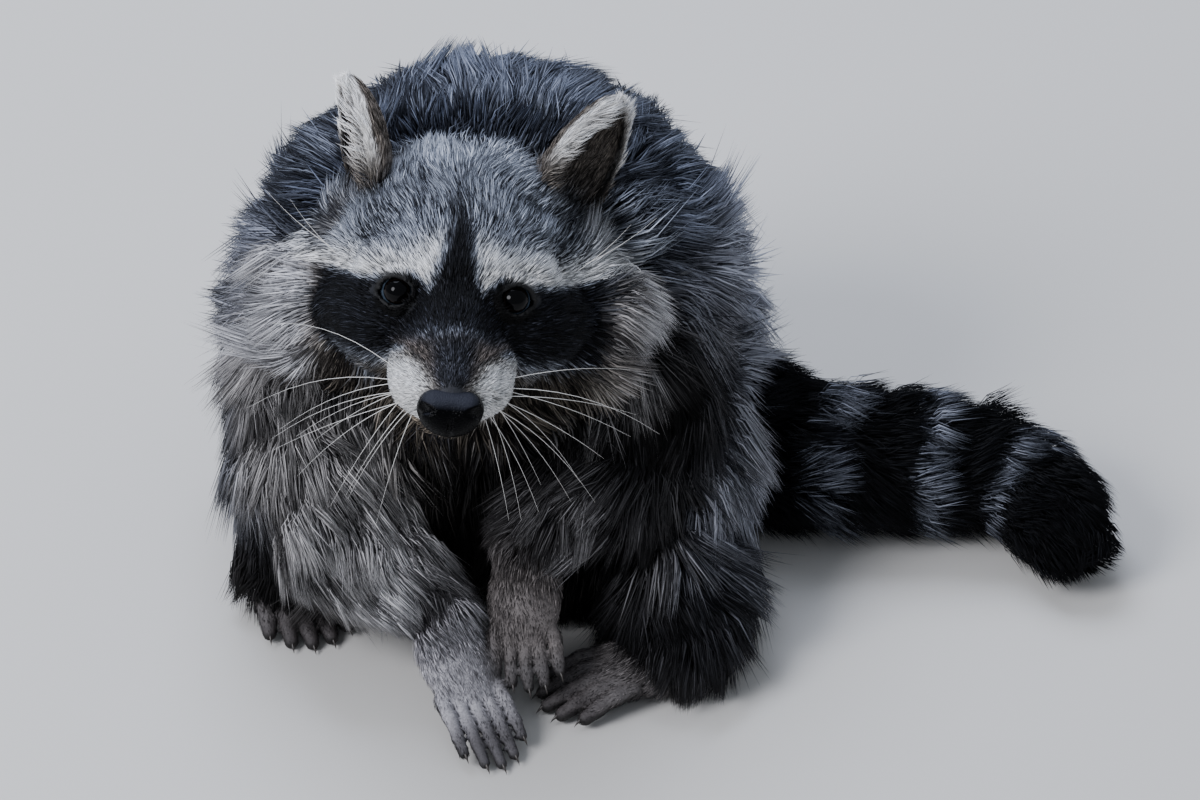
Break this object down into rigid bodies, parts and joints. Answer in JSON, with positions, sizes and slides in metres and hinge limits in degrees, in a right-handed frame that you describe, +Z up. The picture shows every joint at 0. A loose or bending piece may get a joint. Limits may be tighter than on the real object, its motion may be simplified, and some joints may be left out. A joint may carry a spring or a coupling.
{
  "type": "raccoon",
  "caption": "Life-size still raccoon sitting hunched on its rump, fore paws on the ground before it, head raised, ringed tail laid round its left side.",
  "frame": {"origin": "centre of the bounding box, at ground level under the animal", "axes": "+Z up; the raccoon faces -Y; +X towards its left side, where the tail lies"},
  "size_m": [0.393, 0.3054, 0.2475],
  "materials": {
    "grey_fur": "long grizzled coat",
    "ringed_fur": "long dark coat with pale rings",
    "face_fur": "short pale coat",
    "paw_skin": "dry bare and thinly furred skin",
    "nose_leather": "moist black leather",
    "eyes": "wet dark glossy",
    "claws": "translucent horn",
    "whiskers": "stiff white hair"
  },
  "bodies": {
    "root": {"head": "grey_fur", "muzzle": "face_fur", "lower_jaw": "face_fur", "foreleg_left": "grey_fur", "foreleg_right": "grey_fur", "hindleg_left": "grey_fur", "hindleg_right": "grey_fur", "neck": "grey_fur", "trunk": "grey_fur", "forepaw_left": "paw_skin", "hindfoot_left": "paw_skin", "forepaw_right": "paw_skin", "hindfoot_right": "paw_skin", "tail_base": "ringed_fur", "tail_middle": "ringed_fur", "tail_tip": "ringed_fur", "eye_right": "eyes", "eye_left": "eyes", "nose": "nose_leather", "ear_left": "grey_fur", "ear_right": "grey_fur"}
  },
  "joints": []
}
